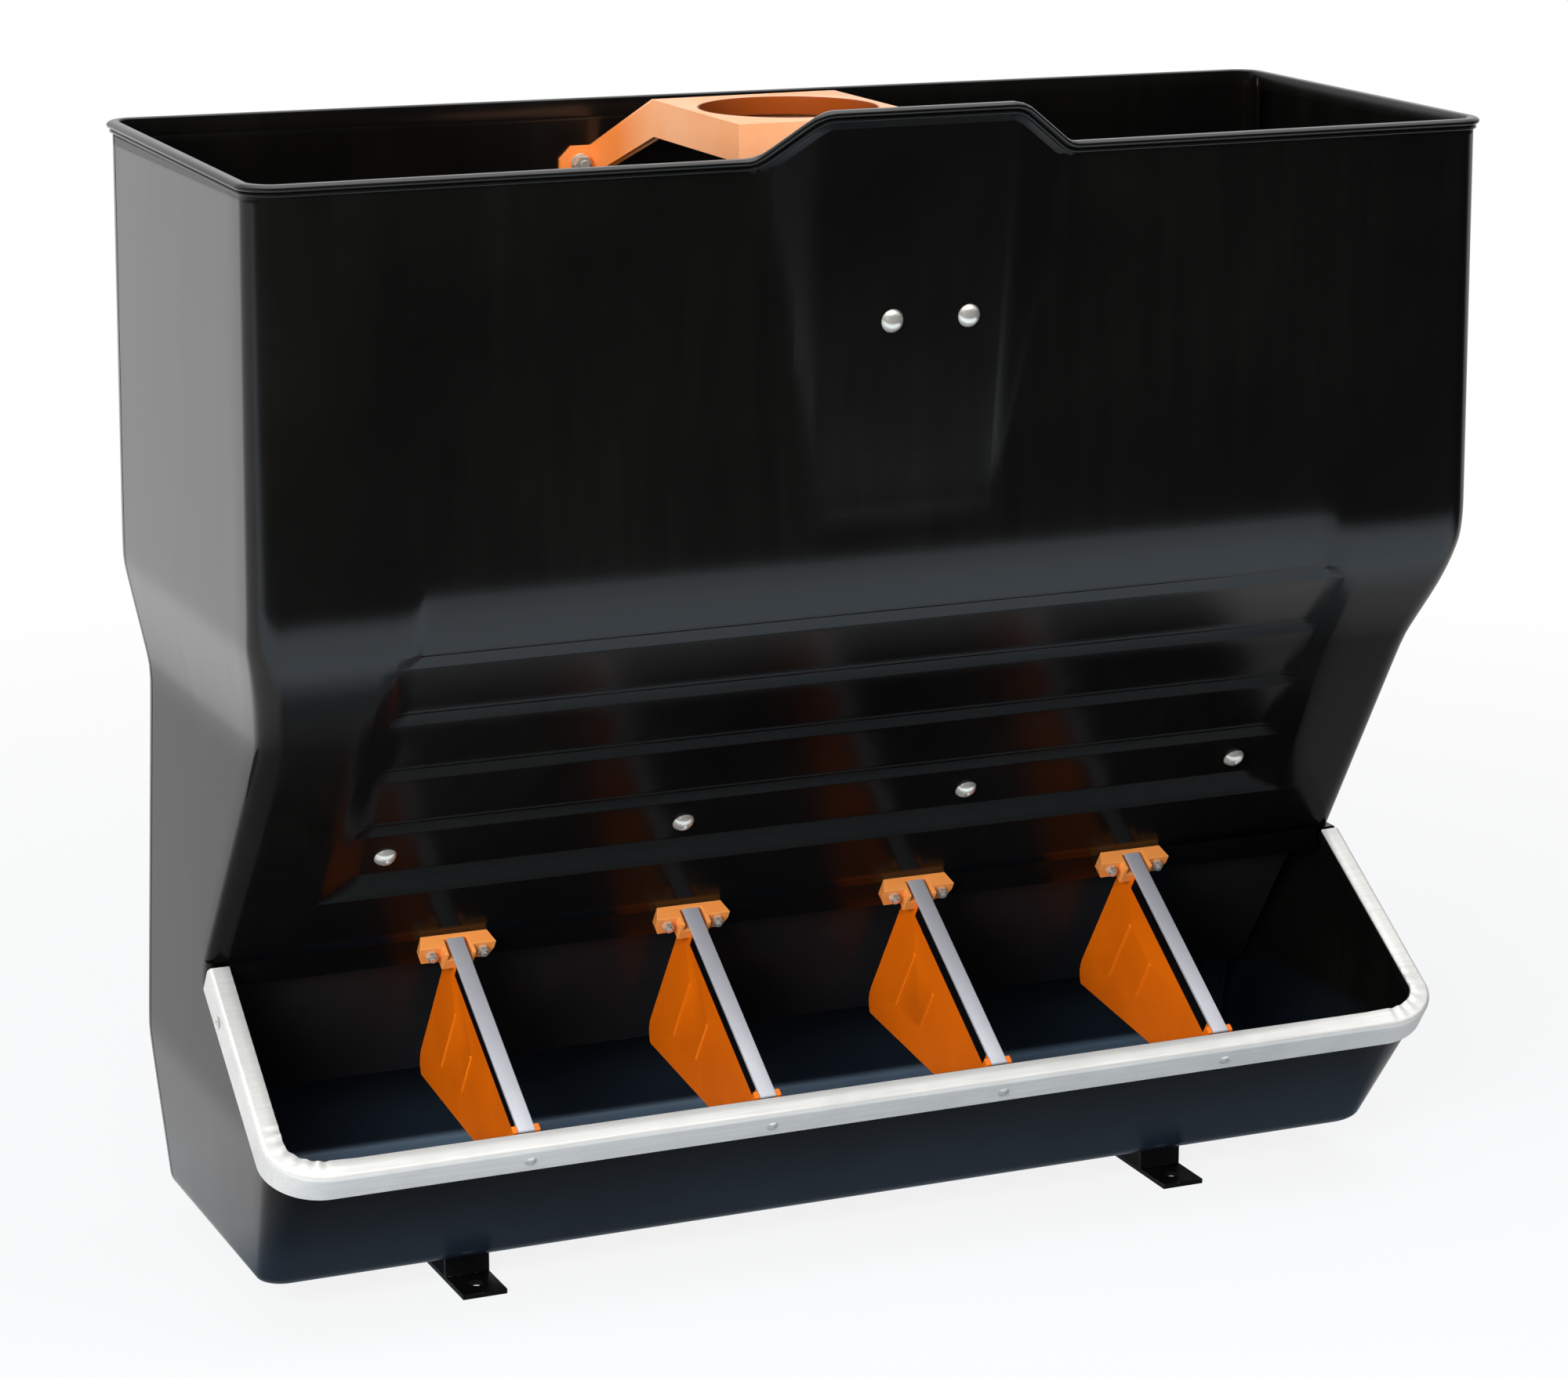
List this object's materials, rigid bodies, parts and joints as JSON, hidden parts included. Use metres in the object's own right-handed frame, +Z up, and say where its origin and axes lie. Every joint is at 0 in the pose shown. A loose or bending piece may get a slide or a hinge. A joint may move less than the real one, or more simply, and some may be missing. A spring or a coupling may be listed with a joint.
{
  "type": "pig feeder",
  "caption": "Black hopper feeder for pigs with a steel-edged trough, orange dividers on steel bars, a louvered slope over a sliding feed gate and a ring for the feed pipe.",
  "frame": {"origin": "centre of the bounding box's underside, on the floor", "axes": "+X to the feeder's right seen from the front, +Y to its back, +Z up along the feed pipe"},
  "size_m": [1, 0.412, 0.9139],
  "materials": {
    "shell_plastic": "satin",
    "trim_steel": "brushed",
    "divider_orange": "satin",
    "block_orange": "satin",
    "bar_steel": "brushed",
    "gate_black": "satin",
    "plate_steel": "brushed",
    "bush_plastic": "matte",
    "grip_orange": "satin",
    "ring_orange": "powder coat",
    "foot_black": "satin",
    "fastener_steel": "polished"
  },
  "bodies": {
    "feeder": {"front_shell": "shell_plastic", "rear_panel": "shell_plastic", "lip_trim": "trim_steel", "lip_rivets": "fastener_steel", "divider_panel_1": "divider_orange", "divider_panel_2": "divider_orange", "divider_panel_3": "divider_orange", "divider_panel_4": "divider_orange", "divider_block_1": "block_orange", "divider_block_2": "block_orange", "divider_block_3": "block_orange", "divider_block_4": "block_orange", "divider_bar_1": "bar_steel", "divider_bar_2": "bar_steel", "divider_bar_3": "bar_steel", "divider_bar_4": "bar_steel", "divider_screws": "fastener_steel", "divider_nuts": "fastener_steel", "gate_bushes": "bush_plastic", "gate_screws": "fastener_steel", "gate_washers": "fastener_steel", "gate_nuts": "fastener_steel", "clamp_bracket": "plate_steel", "bracket_screws": "fastener_steel", "bracket_nuts": "fastener_steel", "clamp_stud": "fastener_steel", "pipe_bracket": "ring_orange", "pipe_bolts": "fastener_steel", "pipe_washers": "fastener_steel", "pipe_nuts": "fastener_steel", "floor_bracket_left": "foot_black", "floor_bracket_right": "foot_black", "foot_bolts": "fastener_steel", "foot_nuts": "fastener_steel"},
    "gate": {"feed_gate": "gate_black", "gate_riser": "plate_steel", "riser_screws": "fastener_steel", "riser_grip": "grip_orange"},
    "knob": {"clamp_knob": "grip_orange"}
  },
  "joints": [
    {"name": "gate_slide", "type": "slide", "parent": "feeder", "child": "gate", "axis": [0, -0.5592, 0.829], "range_m": [-0.02, 0.02]},
    {"name": "clamp_turn", "type": "hinge", "parent": "feeder", "child": "knob", "pos_m": [0.0047, -0.1255, 0.8], "axis": [1, 0, 0], "range_deg": [0, 270]}
  ]
}
